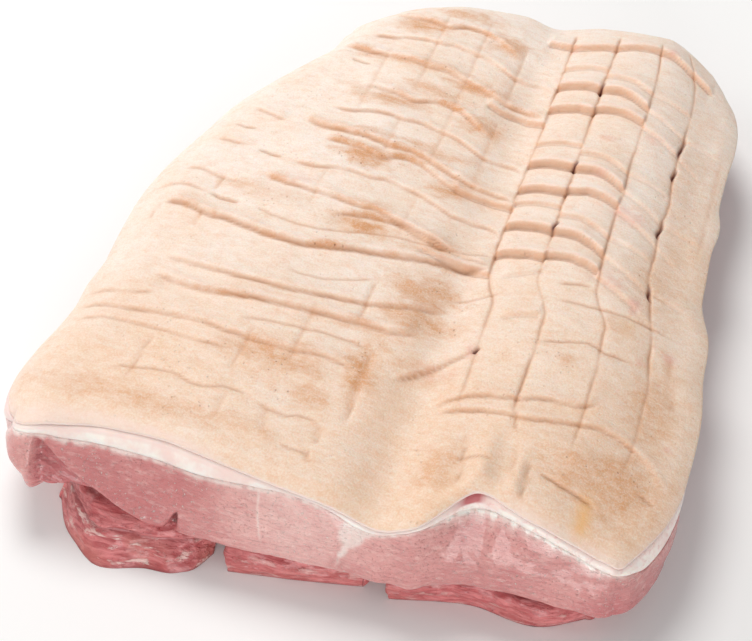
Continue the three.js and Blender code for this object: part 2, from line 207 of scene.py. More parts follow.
skinFolds = {
    # run of long folds on the left half, repeated toward the front: kind, height, path
    "run": [
        ("brown", 1.5, [(-46, 175), (-36, 174.2), (-28, 173.4), (-18, 170.6), (-8, 174), (0, 173.2),
                        (6, 170.6),
                        (13, 166), (21, 162.6)]),
        ("fold", 1.2, [(-54, 157), (-44, 155.6), (-35, 157.4), (-25, 158), (-18, 157.2), (-12, 158.2),
                       (-3, 156.4),
                       (6, 154.6), (13, 151.5), (20, 148.2), (27, 147.8), (36, 147.8), (42, 144)]),
        ("orange", 1.8, [(-64, 145.6), (-54, 143), (-44, 141.6), (-30, 140.4), (-18, 138.4),
                         (-10, 138.6), (0, 135.6),
                         (6, 133.4), (13, 130.8), (21, 128.4), (30, 127.6), (42, 126)]),
        ("lip", 2.2, [(14, 124.8), (20, 123.6), (31, 123.6), (43, 121.8)]),
    ],
    "repeats": [(0, 0, 1), (0, -58, 1), (-4, -98, 0.9)],     # shift right, shift along, strength
    "single": [
        ("brown", 1.5, [(-30, 33.2), (-20, 35.4), (-10, 36.8), (2, 36.6), (14, 33.2), (24, 31)]),
        ("line", 0.5, [(-64, 26.6), (-50, 23), (-34, 22), (-22, 24.4), (-12, 27.2), (2, 29.6),
                       (20, 30), (42, 34)]),
        ("orange", 2.4, [(-105, 20.2), (-95, 20.4), (-85, 18), (-70, 16), (-58, 13.6), (-46, 11.8),
                         (-38, 11.8),
                         (-28, 13.4), (-14, 16.6), (2, 19), (20, 23), (42, 27)]),
        ("line", 0.7, [(-93, 76.2), (-87, 74.6), (-81, 75.4)]),
        ("fold", 0.7, [(-88, 89), (-80, 86), (-70, 83.4)]),
        ("fold", 0.6, [(-97, 65), (-88, 63.8), (-78, 64.8)]),
        ("line", 0.9, [(-76, 62), (-70, 60.4), (-63, 59.6)]),
        ("fold", 0.6, [(-106, 43.6), (-95, 43.4), (-85, 40.8), (-74, 39.6)]),
        ("fold", 0.6, [(-114, 30), (-103, 32.6), (-95, 31.8), (-87, 30.2)]),
        ("line", 1.3, [(-86, 29.6), (-79, 28), (-71, 26.8)]),
        ("line", 0.8, [(-56, 135.2), (-51, 134), (-45, 132.6)]),
        ("line", 0.5, [(-40, -3), (-30, -4.2), (-20, -3), (-10, 0.4), (0, 4.5)]),
        ("fold", 1.5, [(-90, -10.6), (-72, -12.4), (-52, -13.8), (-34, -14), (-18, -12), (4, -9.2),
                       (16, -5.6), (30, 0)]),
        ("orange", 2.2, [(-90, -20.8), (-80, -23), (-68, -24.6), (-56, -23.8), (-40, -22.6),
                         (-18, -21.2), (4, -20.6),
                         (14, -20.4), (24, -17)]),
        ("fold", 0.7, [(-116, -34), (-98, -33.6), (-84, -30.4)]),
        ("line", 0.6, [(-48, -34.4), (-36, -32.6), (-20, -31.2), (-2, -30.8), (9, -32.4)]),
        ("fold", 1.2, [(-116, -42.6), (-96, -42.4), (-78, -41), (-60, -41), (-44, -43), (-22, -43.4),
                       (-6, -42), (6, -44.4)]),
        ("fold", 0.8, [(-114, -50.4), (-96, -48.6), (-78, -48.4), (-60, -50), (-44, -50.6)]),
        ("line", 0.6, [(-88, -72.4), (-78, -70.2), (-62, -69), (-50, -72), (-38, -69), (-28, -70.6)]),
        ("line", 0.6, [(-26, -72), (-14, -74.4), (-5, -72.2), (2, -74.6)]),
        ("line", 0.6, [(-10, -88), (-4, -88.2), (2, -89)]),
        ("lip", 0.8, [(48, 24), (56, 26), (65, 30)]),
        ("line", 0.7, [(72, 23), (79, 24.8), (86, 25.6)]),
        ("line", 0.6, [(73, 14.6), (88, 14.8), (105, 15.6), (122, 15)]),
        ("line", 0.5, [(30, 6), (40, 9), (51, 14.4)]),
        ("lip", 1.0, [(54, 0.6), (62, 3.4), (69, 5)]),
        ("line", 0.7, [(71, -9.4), (80, -7.4), (90, -4.6), (100, -6.6), (111, -6)]),
        ("fold", 1.3, [(38, -49.6), (50, -43.4), (62, -41), (72, -40), (78, -37.8), (88, -36.8),
                       (96, -35.6), (102, -31)]),
        ("fold", 1.3, [(41, -51.6), (52, -49.6), (64, -48.2), (74, -48.8), (85, -47), (95, -44.6),
                       (105, -43), (116, -45.4),
                       (126, -50.6), (134, -59)]),
        ("line", 1.2, [(87, -71.2), (95, -73.4), (103, -75.2), (111, -77.4)]),
        ("line", 0.7, [(124, -62.6), (131, -66.4)]),
        ("fold", 1.5, [(20, -43.4), (30, -34), (40, -25.4), (48, -19.4)]),
        ("line", 0.6, [(56, -72.4), (63, -71.8), (70, -72.6)]),
        ("lip", 2.6, [(30, 181), (38, 180.6), (46, 179.6), (52, 180.6), (64, 182), (76, 184),
                      (88, 184), (100, 178),
                      (112, 171)]),
    ],
    # short cuts running lengthwise: x at the back, x at the front, from y, to y, depth
    "upright": [
        (-84.6, -85.6, 43, 32, 0.8), (-86, -86.4, 19, 9, 0.6), (-105.4, -107, 20, 9, 0.5), (-78, -79, -50, -78, 0.6),
        (-40, -41, -36, -62, 0.6), (-38.5, -39, -72, -86, 0.7), (-20, -20.6, -16, -50, 0.5), (-22, -18, -70, -86, 0.4),
        (-0.6, -1.2, 4, -22, 0.7), (9.2, 9.6, -30, -72, 1.1), (1.6, 2.6, -74, -83, 0.9), (0.8, 2.4, -86, -92, 0.8),
        (-20, -20, 186, 120, 0.35), (1, 0, 188, 70, 0.4), (21, 22, 175, 122, 0.6), (21.5, 22, 118, 60, 0.5),
        (-40, -41, 150, 96, 0.3), (-21, -21, 104, 62, 0.3), (-42, -42, 60, 34, 0.3), (0, 0, 58, 34, 0.3),
        (124, 124, 130, 60, 0.4), (123, 129, 6, -22, 0.6), (82, 84, -66, -86, 0.9), (56, 60, -60, -86, 0.9),
        (76, 78, -62, -78, 0.5), (72, 74, -46, -55, 0.7),
    ],
    # open slits in the lengthwise cuts: which cut, from y, to y
    "slits": [(63, 153, 144.6), (63, 96.4, 90.4), (63, 58.4, 51.6), (105, 132, 116), (105, 111, 102),
              (105, 77, 65), (105, 39, 29),
              (42, -16.5, -20.5)],
    # soft swells of the skin between the folds: middle x, middle y, widths, height
    "swells": [(66, -74, 4.5, 16, 2.4), (80, -76, 3.2, 12, 1.6), (50, -80, 4.5, 14, 1.4),
               (-40, 166, 16, 5, 0.8),
               (-35, 108, 16, 4, 0.8), (-30, 70, 15, 4, 0.8), (25, -28, 12, 6, 0.7), (95, -58, 18, 6, 0.8)],
}
# Each kind of step: sharpness, reach behind, reach in front (mm), tan on its face
kinds = {"lip": (0.5, 8.0, 4.0, 0.0), "fold": (0.55, 10.0, 5.0, 0.12), "orange": (0.95, 9.0, 5.0, 0.85),
         "brown": (0.8, 8.0, 5.0, 0.9)}


def skin(a, b, x, y):
    # Height, tan tint, open slits and painted light of the skin: painted shade on the faces of lips and folds
    # and in creases and grooves, a brown tint along the cut lines, and a painted highlight on each brow. A lip or
    # fold of height s is a step 0.6 * s * tanh(d / sharpness) that fades with exp(-|d| / reach) in the distance d
    # behind its path, with a round brow; a cut is a narrow bell-shaped groove.
    height, tan, slit, toneAndShade, dark, browHighlight = (np.zeros_like(x) for _ in range(6))

    def crease(kind, strength, path):
        nonlocal height, tan, toneAndShade, dark, browHighlight
        left, right = path[0][0], path[-1][0]
        span = 1.4 if kind == "lip" else min(8.0, 0.25 * (right - left))
        seen = (ease((x - left) / span + 0.15) * ease((right - x) / span + 0.15)
                * (x > left - 1) * (x < right + 1))
        d = y - through(path, x) + 0.3 * noise(x / 3.1, y / 40, seed=5)
        if kind == "line":
            height -= seen * strength * (0.9 * bell(d, 0, 0.75) + 0.25 * bell(d, 0, 2.6))
            # painted shade along the line's groove, with a brown tint
            toneAndShade += seen * 0.6 * min(1.0, strength + 0.2) * bell(d, 0, 0.9)
            dark += seen * 0.5 * min(1.0, strength + 0.1) * bell(d, 0, 0.5)
            return
        sharp, behind, before, tanned = kinds[kind]
        share = min(1.0, strength / 2.6)
        if kind == "lip":
            # painted shade on the lip's face and at its foot, painted highlight on its brow
            toneAndShade += seen * 0.6 * share * bell(d, -0.1, 1.3)
            dark += seen * 0.8 * share * bell(d, -1.5, 0.55)
            browHighlight += seen * share * share * bell(d, 1.7, 1.0)
        else:
            broken = clamp01(0.7 + 0.6 * noise(x / 9, y / 30, seed=7))
            # painted shade on the fold's face and in its crease, painted highlight on its brow
            toneAndShade += seen * broken * (0.4 + 0.4 * share) * bell(d, -0.2, 0.9)
            dark += seen * broken * (0.3 + 0.55 * share) * bell(d, -0.5, 0.5)
            browHighlight += seen * 0.6 * share * bell(d, 2.2, 1.4)
        fading = np.exp(-np.abs(d) / np.where(d > 0, behind, before))
        rise = 0.16 if kind == "lip" else 0.3
        height += seen * strength * (0.6 * np.tanh(d / sharp) * fading + rise * bell(d, 2.4, 2.2))
        if tanned:
            uneven = 0.25 + 0.9 * noise(x / 13, y / 13, seed=9) + 0.35 * noise(x / 2.4, y / 2.4, seed=10)
            stripe = np.where(d > 0, bell(d, 0.6, 2.4), bell(d, 0, 0.9))
            tan = np.maximum(tan, seen * tanned * clamp01(uneven) * stripe)

    columns = {}
    for line, depth in skinRelief["cuts"]:
        sway = 0.35 * noise(b / 14, line, seed=3) + 0.15 * noise(b / 3, line, seed=4)
        columns[line] = a - line - sway
        seen = ease((b + 46 + 0.2 * line) / 24) * ease((192 - b) / 8)
        strength = clamp01(0.62 + 0.6 * noise(b / 13, line, seed=8))
        groove = 0.7 * bell(columns[line], 0, 0.65) + 0.3 * bell(columns[line], 0, 2.6)
        height -= seen * strength * depth * groove
        # painted shade in the cut's groove, with a brown tint
        toneAndShade += seen * (0.25 + 0.45 * strength) * bell(columns[line], 0, 0.9)
        dark += seen * (0.15 + 0.45 * strength) * bell(columns[line], 0, 0.42)
    for shift in skinRelief["repeats"]:
        for left, right, yLeft, yMiddle, yRight, strength in skinRelief["lips"]:
            middle = (left + right) / 2
            crease("lip", strength, [(left - 0.6, yLeft + shift), (middle, yMiddle + shift),
                                     (right + 0.6, yRight + shift)])
    for dx, dy, strength in skinFolds["repeats"]:
        for kind, amount, path in skinFolds["run"]:
            crease(kind, amount * strength, [(px + dx * ease((42 - px) / 40), py + dy) for px, py in path])
    for kind, amount, path in skinFolds["single"]:
        crease(kind, amount, path)
    for xBack, xFront, yBack, yFront, depth in skinFolds["upright"]:
        t = (yBack - y) / (yBack - yFront)
        seen = ease(t * 5 + 0.1) * ease((1 - t) * 5 + 0.1)
        d = x - mix(xBack, xFront, t) + 0.3 * noise(y / 3.3, x / 30, seed=6)
        height -= seen * depth * (0.8 * bell(d, 0, 0.7) + 0.25 * bell(d, 0, 2.5))
        # painted shade in the short cut's groove, with a brown tint
        toneAndShade += seen * 0.5 * min(1.0, depth + 0.3) * bell(d, 0, 1.0)
        dark += seen * 0.35 * min(1.0, depth) * bell(d, 0, 0.5)
    for line, yBack, yFront in skinFolds["slits"]:
        t = (yBack - y) / (yBack - yFront)
        seen = ease(t * 4 + 0.2) * ease((1 - t) * 4 + 0.2) * (t > -0.1) * (t < 1.1)
        d = columns[line] - 0.5 * np.sin(clamp01(t) * 2 * math.pi)
        seen = seen * (0.35 + 0.65 * bell(t, 0.62, 0.35))
        slit += seen * bell(d, 0, 0.6)
        height -= seen * 2.2 * bell(d, 0, 0.75)
    for cx, cy, wide, long, amount in skinFolds["swells"]:
        height += amount * bell(x, cx, wide) * bell(y, cy, long)
    # uneven hand of the flesh below: broad, then finer
    height += (0.5 * noise(x / 26, y / 17, seed=11) + 0.24 * noise(x / 9, y / 6, seed=12)
               + 0.09 * noise(x / 4.5, y / 1.9, seed=13) + 0.05 * noise(x / 1.7, y / 1.3, seed=14))
    return height, tan, slit, toneAndShade, dark, browHighlight


def slopes(height, x, y):
    # How far each spot faces the front, from its slope toward the back, and how hollow it is, from the
    # sum of its bends along and across. Both only feed painted shade: on faces toward the front, and in hollows.
    rows = np.gradient(height, axis=0) / np.gradient(y, axis=0)
    across = np.gradient(height, axis=1) / np.gradient(x, axis=1)
    hollowShade = (np.clip(np.gradient(rows, axis=0) / np.gradient(y, axis=0), 0, 9)
              + np.clip(np.gradient(across, axis=1) / np.gradient(x, axis=1), 0, 9))
    return clamp01((rows - 0.22) / 0.9), clamp01((hollowShade - 0.3) / 3.2)


def rimGaps(a, b):  # 0 at the left, back, front and right rim, 1 past the reach of its roll-off
    return (clamp01((a - slab["left"]) / 24), clamp01((slab["back"] - b) / 20),
            clamp01((b - slab["front"]) / 7), clamp01((slab["right"] - a) / 8))


def rindZ(a, b, relief):  # the crown with the skin's relief, rolled off with a square law at each rim
    left, back, front, right = rimGaps(a, b)
    inside = np.minimum(np.minimum(ease(left * 1.5), ease(back * 2)), np.minimum(0.4 + 0.6 * front, right))
    return (crown(a, b) + relief * inside
            - 11 * (1 - left) ** 2 - 4 * (1 - back) ** 2 * np.minimum(left, right)
            - 2 * (1 - front) ** 2 * np.minimum(left, right) - 2.5 * (1 - right) ** 2)


# From arrays to meshes.

def toPart(x, y, z):
    cx, cy = slab["centre"]
    return np.stack([x - cx, y - cy, z], axis=-1) * 0.001


def gridLoop(rows, columns):
    # The border of a grid of rows x columns points, anticlockwise from above, as point numbers.
    index = np.arange(rows * columns).reshape(rows, columns)
    return np.concatenate([index[0, :-1], index[:-1, -1], index[-1, :0:-1], index[:0:-1, 0]])


def gridQuads(rows, columns):
    index = np.arange(rows * columns).reshape(rows, columns)
    corners = [index[:-1, :-1], index[:-1, 1:], index[1:, 1:], index[1:, :-1]]
    return np.stack(corners, axis=-1).reshape(-1, 4)


def bandQuads(upper, lower):  # between two closed loops of equal count, the upper one first
    return np.stack([upper, lower, np.roll(lower, -1), np.roll(upper, -1)], axis=-1)


def buildMesh(name, points, quads, triangles, tints):
    mesh = bpy.data.meshes.new(name)
    mesh.vertices.add(len(points))
    mesh.vertices.foreach_set("co", np.ascontiguousarray(points, dtype=np.float32).ravel())
    corners = np.concatenate([quads.ravel(), triangles.ravel()]).astype(np.int32)
    sizes = np.concatenate([np.full(len(quads), 4), np.full(len(triangles), 3)])
    starts = np.concatenate([[0], np.cumsum(sizes)[:-1]]).astype(np.int32)
    mesh.loops.add(len(corners))
    mesh.loops.foreach_set("vertex_index", corners)
    mesh.polygons.add(len(sizes))
    mesh.polygons.foreach_set("loop_start", starts)
    mesh.polygons.foreach_set("use_smooth", np.ones(len(sizes), dtype=bool))
    mesh.update(calc_edges=True)
    for label, values in tints.items():
        layer = mesh.attributes.new(label, "FLOAT_COLOR", "POINT")
        layer.data.foreach_set("color", np.ascontiguousarray(values, dtype=np.float32).ravel())
    mesh.validate()
    piece = bpy.data.objects.new(name, mesh)
    bpy.context.collection.objects.link(piece)
    return piece


def outward(x, y):
    # Plan direction square to closed loops that run anticlockwise, along the last axis.
    dx = np.roll(x, -1, axis=-1) - np.roll(x, 1, axis=-1)
    dy = np.roll(y, -1, axis=-1) - np.roll(y, 1, axis=-1)
    length = np.hypot(dx, dy) + 1e-9
    return dy / length, -dx / length


def bandPiece(name, x, y, z, tints, poles):
    # A closed body from loops stacked from its top middle, over the rim and down, to its bottom middle.
    steps, count = x.shape
    points = np.concatenate([toPart(x, y, z).reshape(-1, 3), toPart(*np.array(poles, float).T)])
    index = np.arange(steps * count).reshape(steps, count)
    quads = np.concatenate([bandQuads(index[k], index[k + 1]) for k in range(steps - 1)])
    top, bottom = steps * count, steps * count + 1
    first, last = index[0], index[-1]
    caps = np.concatenate([np.stack([np.full(count, top), first, np.roll(first, -1)], axis=-1),
                           np.stack([last, np.full(count, bottom), np.roll(last, -1)], axis=-1)])
    whole = {label: np.concatenate([values.reshape(-1, 4), values[0, :1], values[-1, :1]])
             for label, values in tints.items()}
    return buildMesh(name, points, quads, caps, whole)


def channels(*values):
    shape = np.broadcast(*values).shape
    return np.stack([np.broadcast_to(v, shape) for v in values], axis=-1)


# Shader helpers.

def srgb(r, g, b):  # screen colour 0-255 to the linear colour a shader takes
    def one(v):
        v = v / 255
        return v / 12.92 if v <= 0.04045 else ((v + 0.055) / 1.055) ** 2.4
    return (one(r), one(g), one(b), 1.0)


class Wire:
    # One output of a node tree. Arithmetic on it adds Math nodes.
    def __init__(self, shop, socket):
        self.shop, self.socket = shop, socket

    def math(self, operation, *others, clamp=False):
        return self.shop.node("ShaderNodeMath", {"operation": operation, "use_clamp": clamp},
                              {i: v for i, v in enumerate((self, *others))})

    def __add__(self, other): return self.math("ADD", other)
    def __radd__(self, other): return self.math("ADD", other)
    def __sub__(self, other): return self.math("SUBTRACT", other)
    def __rsub__(self, other): return self.math("MULTIPLY_ADD", -1.0, other)
    def __mul__(self, other): return self.math("MULTIPLY", other)
    def __rmul__(self, other): return self.math("MULTIPLY", other)
    def clamp(self): return self.math("ADD", 0.0, clamp=True)

    def step(self, low, high):  # smooth rise from 0 at low to 1 at high
        return self.shop.node("ShaderNodeMapRange", {"interpolation_type": "SMOOTHSTEP"},
                              {"Value": self, "From Min": low, "From Max": high, "To Min": 0.0, "To Max": 1.0})


class Shop:
    # One material and the nodes in it.
    def __init__(self, name):
        self.material = bpy.data.materials.new(name)
        self.material.use_nodes = True
        self.tree = self.material.node_tree
        self.shader = self.tree.nodes["Principled BSDF"]

    def plug(self, socket, value):
        if isinstance(value, Wire):
            self.tree.links.new(value.socket, socket)
        else:
            socket.default_value = value

    def node(self, kind, settings=None, inputs=None, out=0):
        made = self.tree.nodes.new(kind)
        for key, value in (settings or {}).items():
            setattr(made, key, value)
        for key, value in (inputs or {}).items():
            self.plug(made.inputs[key], value)
        return Wire(self, made.outputs[out])

    def here(self):
        return self.node("ShaderNodeTexCoord", out="Object")

    def axis(self, vector, name):
        return self.node("ShaderNodeSeparateXYZ", {}, {0: vector}, out=name)

    def tint(self, label):
        # The four channels of a colour attribute.
        made = self.node("ShaderNodeAttribute", {"attribute_name": label}, out="Color")
        parts = self.node("ShaderNodeSeparateColor", {}, {0: made})
        nodeParts = parts.socket.node.outputs
        alpha = made.socket.node.outputs["Alpha"]
        return [Wire(self, nodeParts[i]) for i in range(3)] + [Wire(self, alpha)]

    def scaled(self, vector, size):
        return self.node("ShaderNodeMapping", {}, {"Vector": vector, "Scale": size})

    def grain(self, vector, scale, detail=3.0, rough=0.55, warp=0.0):
        return self.node("ShaderNodeTexNoise", {}, {"Vector": vector, "Scale": scale, "Detail": detail,
                                                    "Roughness": rough, "Distortion": warp}, out="Fac")

    def cells(self, vector, scale):
        return self.node("ShaderNodeTexVoronoi", {}, {"Vector": vector, "Scale": scale}, out="Distance")

    def blend(self, factor, first, second, how="MIX"):
        made = self.tree.nodes.new("ShaderNodeMix")
        made.data_type, made.blend_type = "RGBA", how
        for socket, value in zip((made.inputs[0], made.inputs[6], made.inputs[7]),
                                 (factor, first, second)):
            self.plug(socket, value)
        return Wire(self, made.outputs[2])

    def bump(self, height, depth, strength):
        return self.node("ShaderNodeBump", {}, {"Strength": strength, "Distance": depth, "Height": height})

    def finish(self, **sockets):
        for name, value in sockets.items():
            self.plug(self.shader.inputs[name.replace("_", " ")], value)
        return self.material


# The rind.

rind = {
    "columns": 205, "rows": 422,
    "thick": 2.3, "thinner": 1.7,    # skin thickness at the cut edge, left and right of the thick fat, mm
    "inside": 36.0,                  # height of its hidden underside, mm
    "pale": srgb(246, 232, 221), "peach": srgb(238, 206, 178), "tan": srgb(214, 154, 104), "light": srgb(252, 242, 232),
    # the cut tone is the skin's darker mottle and also painted shade on faces toward the front; the crease colour is
    # the pores' brown and also painted shade in creases and hollows; the slit colour is the meat's red in the open
    # slits, darkened as painted shade
    "front": srgb(238, 196, 160), "cutToneAndShade": srgb(228, 172, 130), "crease": srgb(150, 94, 62), "slit": srgb(104, 34, 28),
    "blush": srgb(226, 150, 140), "edge": srgb(246, 222, 212), "stain": srgb(244, 184, 110),
    "tanPatches": [  # middle x, middle y, half widths, strength
        (-28, 169, 14, 6, 0.7), (-12, 184, 16, 5, 0.55), (12, 168, 12, 7, 0.6), (-10, 123, 14, 4.5, 0.6),
        (-30, 110, 16, 5, 0.6), (8, 133, 14, 3.6, 0.8), (15, 109, 10, 5, 0.7), (-28, 71, 14, 6, 0.9),
        (4, 83, 16, 4, 0.5), (15, 64, 10, 6, 0.6), (-15, 31, 16, 5, 0.8), (14, 30, 12, 6, 0.45), (22, 6, 17, 9, 0.65),
        (22, -9, 14, 8, 0.6), (8, -45, 7, 14, 0.9), (-25, -48, 22, 8, 0.6), (-10, -62, 14, 5, 0.45),
        (-80, -84, 40, 5, 0.4), (-45, -85, 30, 5, 0.4), (112, -65, 22, 14, 0.55), (122, -22, 9, 20, 0.4),
        (50, -78, 7, 12, 0.45), (30, -35, 12, 6, 0.35), (100, 8, 8, 6, 0.3), (-60, 36, 22, 6, 0.25),
        (85, -16, 3.5, 4, 0.5), (-78, 38, 9, 4, 0.35), (-30, 140, 26, 2.5, 0.5), (-24, 86, 26, 2.5, 0.5),
        (0, -22, 20, 2.5, 0.4), (110, 40, 10, 30, 0.2), (112, 100, 10, 30, 0.15)],
    "blushPatches": [(92, 121, 5, 4, 0.5), (72, 114, 5, 3, 0.4), (91, 70, 6, 5, 0.7),
                     (91, 32, 7, 5, 0.5),
                     (104, 21, 2.5, 4, 1.0), (124, 4, 3, 2.5, 0.7), (74, 91, 3, 2, 0.5), (-52, 49, 7, 4, 0.3),
                     (47, -20, 2.5, 3.5, 0.8), (90, 186, 2.5, 3.5, 0.9), (43, 178, 2, 3, 0.5), (113, -4, 2, 2, 0.6),
                     (27, -86, 5, 2.5, 0.3), (35, -32, 9, 3, 0.25), (131, -39, 1.6, 1.6, 1.0), (122, -11, 0.8, 0.8, 1.0)],
}


def patches(x, y, spots):
    # Soft-edged ovals, broken up by noise.
    total = np.zeros_like(x)
    ragged = 0.35 * noise(x / 8, y / 5, seed=21) + 0.3 * noise(x / 3, y / 2, seed=22)
    for cx, cy, wide, long, strength in spots:
        distance = np.sqrt(((x - cx) / wide) ** 2 + ((y - cy) / long) ** 2)
        total = np.maximum(total, strength * ease((1.6 + ragged - distance) / 1.5))
    return total


def skinThick(a):  # the skin is thinner right of the thick fat
    return mix(rind["thick"], rind["thinner"], ease((a + 35) / 25))


def buildRind():
    left, right, front, back = slab["left"], slab["right"], slab["front"], slab["back"]
    cuts = [(line, 2.0, 2.2) for line, _ in skinRelief["cuts"]]
    columns = stops(left, right, rind["columns"], cuts + [(left, 6, 0.6), (right, 4, 0.8)])
    rows = stops(front, back, rind["rows"], [(front, 5, 1.0), (back, 6, 0.5), (80, 80, 0.5)])
    nominal, b = np.meshgrid(columns, rows)
    a = bent(nominal, b)
    x, y = place(a, b, 0.0)
    relief, tan, slit, toneAndShade, dark, browHighlight = skin(nominal, b, x, y)
    # painted shade: on faces toward the front, with the brown tint along the cuts, and in creases and hollows
    faceShadeAndTint, hollowShade = slopes(relief, x, y)
    faceShadeAndTint, hollowShade = clamp01(toneAndShade + 0.25 * faceShadeAndTint), clamp01(dark + 0.25 * hollowShade)
    z = rindZ(a, b, relief)
    tanned = np.maximum(tan, patches(x, y, rind["tanPatches"]))
    blush = patches(x, y, rind["blushPatches"])
    leftGap, backGap, frontGap, rightGap = a - left, back - b, b - front, right - a
    # bare pale rim: at the front right, down the right side, along the front left and round its corner
    paleReach = mix(7.5, 2.5, ease((a + 110) / 60))
    whitened = (0.7 * ease(1 - frontGap / 5) * ease((a - 76) / 12)
                + 0.4 * ease(1 - rightGap / 4) * ease((-30 - b) / 30)
                + 0.85 * ease(1.25 - frontGap / paleReach + 0.2 * noise(a / 6, b / 6, seed=23))
                * ease((-22 - a) / 20)
                + 0.5 * ease(1 - leftGap / 6) * ease((-60 - b) / 30))
    stain = bell(x, 107, 3.2) * bell(y, -83, 9) + 0.35 * bell(x, 104, 4) * bell(y, 11, 6)
    top = (x, y, z)
    loop = gridLoop(len(rows), len(columns))
    la, lb = a.ravel()[loop], b.ravel()[loop]
    lz = z.ravel()[loop]
    thick = skinThick(la)
    # down the cut edge of the skin, then in underneath it toward the middle: depth, stand-off, scale
    edge = [(0.2, 0.2, 1), (0.6, 0.2, 1), (0.94, 0.1, 1), (1.0, 0.04, 1), (1.05, -1.2, 1),
            (1.0, 0, 0.96), (1.0, 0, 0.8), (1.0, 0, 0.45)]
    parts, midA, midB = [], (left + right) / 2, (front + back) / 2
    for down, out, scale in edge:
        ra, rb = midA + (la - midA) * scale, midB + (lb - midB) * scale
        px, py = place(ra, rb, 0.02)
        nx, ny = outward(px, py)
        pz = lz - thick * down if scale == 1 else np.minimum(crown(ra, rb) - 6.3, rind["inside"])
        parts.append((px + nx * out, py + ny * out, pz))
    points = np.concatenate([toPart(*top).reshape(-1, 3)] + [toPart(*p) for p in parts]
                            + [toPart(*place(midA, midB, 0.0), rind["inside"]).reshape(1, 3)])
    count, base = len(loop), len(rows) * len(columns)
    rings = [loop] + [base + k * count + np.arange(count) for k in range(len(edge))]
    quads = np.concatenate([gridQuads(len(rows), len(columns))]
                           + [bandQuads(rings[k], rings[k + 1]) for k in range(len(edge))])
    pole = np.full(count, len(points) - 1)
    caps = np.stack([rings[-1], pole, np.roll(rings[-1], -1)], axis=-1)
    extra = len(points) - base
    shade = channels(tanned, faceShadeAndTint, hollowShade, clamp01(slit)).reshape(-1, 4)
    # the pale rims, and a painted highlight on the brows of lips and folds
    marks = channels(blush, clamp01(whitened + 0.5 * browHighlight), stain, np.zeros_like(x)).reshape(-1, 4)
    edgeShade = np.zeros((extra, 4))
    edgeMarks = np.zeros((extra, 4))
    cut = np.maximum(ease(1 - (lb - front) / 5), ease((la - right + 4) / 4) * ease((-30 - lb) / 30))
    edgeMarks[:-1, 3] = np.tile(cut, len(edge))
    piece = buildMesh("rind", points, quads, caps, {"skinShade": np.concatenate([shade, edgeShade]),
                                                    "skinMarks": np.concatenate([marks, edgeMarks])})
    return piece


def rindMaterial():
    shop = Shop("scored rind")
    where = shop.here()
    tan, faceShadeAndTint, hollowShade, slit = shop.tint("skinShade")
    blush, white, stain, edge = shop.tint("skinMarks")
    across, along = shop.axis(where, "X"), shop.axis(where, "Y")
    broad = shop.grain(where, 16, detail=4)
    blotch = shop.grain(shop.scaled(where, (0.8, 1.2, 1)), 60, detail=4, rough=0.6)
    mottle = shop.grain(shop.scaled(where, (0.7, 1.2, 1)), 220, detail=5, rough=0.65)
    speckle = shop.grain(where, 1300, detail=2, rough=0.6)
    streaks = shop.grain(shop.scaled(where, (0.55, 1.3, 1)), 380, detail=4, rough=0.6)
    pores = 1 - shop.cells(shop.scaled(where, (1, 1, 0.4)), 330).step(0.05, 0.19)
    porePlaces = shop.grain(where, 50, detail=3).step(0.44, 0.62)
    # paler to the left and back, warmer to the right and front
    frontTan = 1 - along.step(-0.135, -0.02)
    drift = ((across * 1.5 - along * 1.6) + 0.40 + (broad - 0.5) * 1.2 + (blotch - 0.5) * 0.9).clamp()
    skinColour = shop.blend(drift, rind["pale"], rind["peach"])
    skinColour = shop.blend((frontTan * (0.1 + broad * 0.55)).clamp(), skinColour, rind["front"])
    skinColour = shop.blend((tan * (blotch * 0.9 + mottle * 1.5)).clamp(), skinColour, rind["tan"])
    darker = mottle.step(0.42, 0.7) * 0.24 + speckle.step(0.42, 0.7) * 0.16
    lighter = speckle.step(0.56, 0.34) * 0.22 + streaks.step(0.55, 0.4) * 0.16
    skinColour = shop.blend(darker, skinColour, rind["cutToneAndShade"])
    skinColour = shop.blend(lighter, skinColour, rind["light"])
    # painted shade on faces toward the front, with the brown tint along the cuts
    skinColour = shop.blend((faceShadeAndTint * 0.75).clamp(), skinColour, rind["cutToneAndShade"])
    skinColour = shop.blend((stain * 0.7).clamp(), skinColour, rind["stain"])
    skinColour = shop.blend((blush * 0.65 * (mottle * 1.6 - 0.2)).clamp(), skinColour, rind["blush"])
    # pale rims, with a painted highlight on the brows
    skinColour = shop.blend((white * 0.7).clamp(), skinColour, rind["edge"])
    skinColour = shop.blend((pores * porePlaces * (0.12 + tan * 0.9)).clamp(), skinColour, rind["crease"])
    # painted shade in creases and hollows
    skinColour = shop.blend((hollowShade * 0.7).clamp(), skinColour, rind["crease"])
    # the open slits: the meat's red, darkened as painted shade in the gap
    skinColour = shop.blend(slit.clamp(), skinColour, rind["slit"])
    skinColour = shop.blend(edge, skinColour, rind["edge"])
    fine = streaks * 0.5 + mottle * 0.7 + speckle * 0.3 - pores * porePlaces * 0.4
    return shop.finish(Base_Color=skinColour, Roughness=0.5 + mottle * 0.22,
                       Normal=shop.bump(fine, 0.0006, 0.9), Subsurface_Weight=0.2,
                       Subsurface_Radius=(1.0, 0.5, 0.32), Subsurface_Scale=0.003,
                       Specular_IOR_Level=0.42)


rindPiece = buildRind()
rindPiece.data.materials.append(rindMaterial())
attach(rindPiece, "root")
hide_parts("fat_cap")
print("rind:", len(rindPiece.data.polygons), "faces")


# The white fat and the pale lean.

